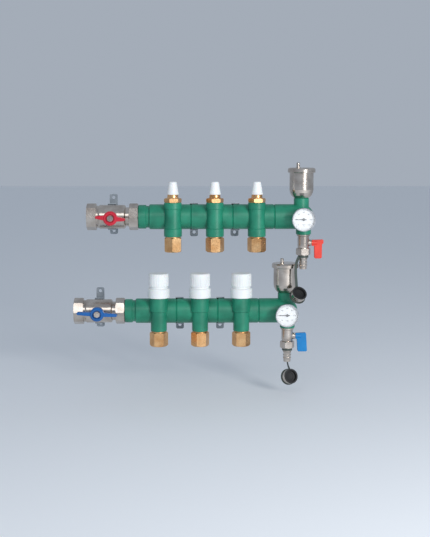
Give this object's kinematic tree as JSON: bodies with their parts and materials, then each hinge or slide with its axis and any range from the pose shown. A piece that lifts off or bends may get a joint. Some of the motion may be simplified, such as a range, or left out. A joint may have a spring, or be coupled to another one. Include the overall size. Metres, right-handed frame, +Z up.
{
  "type": "underfloor heating manifold",
  "caption": "Wall-hung supply and return bars with ball valves, outlet modules, air vents, thermometers and drain taps for underfloor heating loops.",
  "frame": {"origin": "centre of the four wall holes of the supply bar's two middle brackets, on the wall plane", "axes": "+X along the bars away from the inlets, +Y into the wall, +Z up"},
  "size_m": [0.4235, 0.093, 0.3813],
  "materials": {
    "green_ppr": "moulded, satin",
    "nickel_brass": "nickel plated, satin bright",
    "brass": "turned, bright",
    "ptfe": "turned",
    "case_metal": "drawn steel, satin",
    "dial_white": "printed, matte",
    "lens_glass": "clear",
    "black_rubber": "moulded rubber, matte",
    "zinc_steel": "galvanised sheet",
    "red_handle_plastic": "moulded, gloss",
    "blue_handle_plastic": "moulded, gloss",
    "red_lever_plastic": "moulded, gloss",
    "blue_lever_plastic": "moulded, gloss",
    "float_plastic": "moulded, matte",
    "pointer_black": "painted, matte",
    "white_cap_plastic": "moulded, satin",
    "pin_steel": "ground"
  },
  "bodies": {
    "manifold": {"supply_module_1": "green_ppr", "supply_module_2": "green_ppr", "supply_module_3": "green_ppr", "return_module_1": "green_ppr", "return_module_2": "green_ppr", "return_module_3": "green_ppr", "inlet_adapters": "green_ppr", "end_pieces": "green_ppr", "valve_bodies": "nickel_brass", "ball_seats": "ptfe", "valve_union_nuts": "nickel_brass", "valve_union_tails": "nickel_brass", "regulating_inserts": "brass", "thermostatic_inserts": "brass", "outlet_nipples": "brass", "compression_rings": "brass", "compression_nuts": "brass", "vent_bodies": "nickel_brass", "vent_lids": "nickel_brass", "thermometer_cases": "case_metal", "thermometer_dials": "dial_white", "thermometer_lenses": "lens_glass", "thermometer_stems": "brass", "drain_bodies": "nickel_brass", "drain_nuts": "nickel_brass", "hose_tails": "nickel_brass", "strap_rings": "black_rubber", "cap_straps": "black_rubber", "blanking_caps": "nickel_brass", "wall_brackets": "zinc_steel", "bracket_liners": "black_rubber"},
    "supply_shutoff": {"supply_handle": "red_handle_plastic", "supply_ball_and_stem": "nickel_brass"},
    "supply_drain_tap": {"supply_drain_lever": "red_lever_plastic", "supply_drain_ball": "brass"},
    "supply_bleed": {"supply_bleed_cap": "nickel_brass"},
    "supply_vent_float": {"supply_float": "float_plastic"},
    "supply_needle": {"supply_pointer": "pointer_black"},
    "return_shutoff": {"return_handle": "blue_handle_plastic", "return_ball_and_stem": "nickel_brass"},
    "return_drain_tap": {"return_drain_lever": "blue_lever_plastic", "return_drain_ball": "brass"},
    "return_bleed": {"return_bleed_cap": "nickel_brass"},
    "return_vent_float": {"return_float": "float_plastic"},
    "return_needle": {"return_pointer": "pointer_black"},
    "regulating_cap_1_body": {"regulating_cap_1": "white_cap_plastic"},
    "regulating_cone_1_body": {"regulating_cone_1": "brass"},
    "regulating_spindle_1_body": {"regulating_spindle_1": "brass"},
    "valve_pin_1_body": {"valve_pin_1": "pin_steel"},
    "manual_cap_1_body": {"manual_cap_1": "white_cap_plastic"},
    "regulating_cap_2_body": {"regulating_cap_2": "white_cap_plastic"},
    "regulating_cone_2_body": {"regulating_cone_2": "brass"},
    "regulating_spindle_2_body": {"regulating_spindle_2": "brass"},
    "valve_pin_2_body": {"valve_pin_2": "pin_steel"},
    "manual_cap_2_body": {"manual_cap_2": "white_cap_plastic"},
    "regulating_cap_3_body": {"regulating_cap_3": "white_cap_plastic"},
    "regulating_cone_3_body": {"regulating_cone_3": "brass"},
    "regulating_spindle_3_body": {"regulating_spindle_3": "brass"},
    "valve_pin_3_body": {"valve_pin_3": "pin_steel"},
    "manual_cap_3_body": {"manual_cap_3": "white_cap_plastic"}
  },
  "joints": [
    {"name": "supply_shutoff_turn", "type": "hinge", "parent": "manifold", "child": "supply_shutoff", "pos_m": [-0.173, -0.046, 0.01], "axis": [0, 1, 0], "range_deg": [-5, 85]},
    {"name": "supply_drain_turn", "type": "hinge", "parent": "manifold", "child": "supply_drain_tap", "pos_m": [0.15, -0.046, -0.0345], "axis": [1, 0, 0], "range_deg": [-90, 0]},
    {"name": "supply_bleed_turn", "type": "hinge", "parent": "manifold", "child": "supply_bleed", "pos_m": [0.1394, -0.054, 0.096], "axis": [0, 0, 1], "range_deg": [0, 360]},
    {"name": "supply_float_lift", "type": "slide", "parent": "manifold", "child": "supply_vent_float", "axis": [0, 0, 1], "range_m": [0, 0.0075]},
    {"name": "supply_pointer_turn", "type": "hinge", "parent": "manifold", "child": "supply_needle", "pos_m": [0.146, -0.088, 0.008], "axis": [0, 1, 0], "range_deg": [-45, 225]},
    {"name": "return_shutoff_turn", "type": "hinge", "parent": "manifold", "child": "return_shutoff", "pos_m": [-0.198, -0.034, -0.152], "axis": [0, 1, 0], "range_deg": [-3, 87]},
    {"name": "return_drain_turn", "type": "hinge", "parent": "manifold", "child": "return_drain_tap", "pos_m": [0.125, -0.034, -0.1965], "axis": [1, 0, 0], "range_deg": [-90, 0]},
    {"name": "return_bleed_turn", "type": "hinge", "parent": "manifold", "child": "return_bleed", "pos_m": [0.1144, -0.042, -0.066], "axis": [0, 0, 1], "range_deg": [0, 360]},
    {"name": "return_float_lift", "type": "slide", "parent": "manifold", "child": "return_vent_float", "axis": [0, 0, 1], "range_m": [0, 0.0075]},
    {"name": "return_pointer_turn", "type": "hinge", "parent": "manifold", "child": "return_needle", "pos_m": [0.121, -0.076, -0.154], "axis": [0, 1, 0], "range_deg": [-45, 225]},
    {"name": "regulating_cap_1_pull", "type": "slide", "parent": "manifold", "child": "regulating_cap_1_body", "axis": [0, 0, 1], "range_m": [0, 0.03]},
    {"name": "regulating_cone_1_lift", "type": "slide", "parent": "manifold", "child": "regulating_cone_1_body", "axis": [0, 0, 1], "range_m": [0, 0.0025]},
    {"name": "regulating_spindle_1_turn", "type": "hinge", "parent": "regulating_cone_1_body", "child": "regulating_spindle_1_body", "pos_m": [-0.07, -0.064, 0.01], "axis": [0, 0, 1], "range_deg": [0, 901]},
    {"name": "valve_pin_1_lift", "type": "slide", "parent": "manifold", "child": "valve_pin_1_body", "axis": [0, 0, 1], "range_m": [0, 0.003]},
    {"name": "manual_cap_1_turn", "type": "hinge", "parent": "valve_pin_1_body", "child": "manual_cap_1_body", "pos_m": [-0.095, -0.052, -0.152], "axis": [0, 0, 1], "range_deg": [0, 721]},
    {"name": "regulating_cap_2_pull", "type": "slide", "parent": "manifold", "child": "regulating_cap_2_body", "axis": [0, 0, 1], "range_m": [0, 0.03]},
    {"name": "regulating_cone_2_lift", "type": "slide", "parent": "manifold", "child": "regulating_cone_2_body", "axis": [0, 0, 1], "range_m": [0, 0.0025]},
    {"name": "regulating_spindle_2_turn", "type": "hinge", "parent": "regulating_cone_2_body", "child": "regulating_spindle_2_body", "pos_m": [0, -0.064, 0.01], "axis": [0, 0, 1], "range_deg": [0, 901]},
    {"name": "valve_pin_2_lift", "type": "slide", "parent": "manifold", "child": "valve_pin_2_body", "axis": [0, 0, 1], "range_m": [0, 0.003]},
    {"name": "manual_cap_2_turn", "type": "hinge", "parent": "valve_pin_2_body", "child": "manual_cap_2_body", "pos_m": [-0.025, -0.052, -0.152], "axis": [0, 0, 1], "range_deg": [0, 721]},
    {"name": "regulating_cap_3_pull", "type": "slide", "parent": "manifold", "child": "regulating_cap_3_body", "axis": [0, 0, 1], "range_m": [0, 0.03]},
    {"name": "regulating_cone_3_lift", "type": "slide", "parent": "manifold", "child": "regulating_cone_3_body", "axis": [0, 0, 1], "range_m": [0, 0.0025]},
    {"name": "regulating_spindle_3_turn", "type": "hinge", "parent": "regulating_cone_3_body", "child": "regulating_spindle_3_body", "pos_m": [0.07, -0.064, 0.01], "axis": [0, 0, 1], "range_deg": [0, 901]},
    {"name": "valve_pin_3_lift", "type": "slide", "parent": "manifold", "child": "valve_pin_3_body", "axis": [0, 0, 1], "range_m": [0, 0.003]},
    {"name": "manual_cap_3_turn", "type": "hinge", "parent": "valve_pin_3_body", "child": "manual_cap_3_body", "pos_m": [0.045, -0.052, -0.152], "axis": [0, 0, 1], "range_deg": [0, 721]}
  ],
  "couplings": [
    {"joint": "regulating_spindle_1_turn", "follows": "regulating_cone_1_lift", "rad_per_m": 6283.2},
    {"joint": "manual_cap_1_turn", "follows": "valve_pin_1_lift", "rad_per_m": 4188.8},
    {"joint": "regulating_spindle_2_turn", "follows": "regulating_cone_2_lift", "rad_per_m": 6283.2},
    {"joint": "manual_cap_2_turn", "follows": "valve_pin_2_lift", "rad_per_m": 4188.8},
    {"joint": "regulating_spindle_3_turn", "follows": "regulating_cone_3_lift", "rad_per_m": 6283.2},
    {"joint": "manual_cap_3_turn", "follows": "valve_pin_3_lift", "rad_per_m": 4188.8}
  ]
}
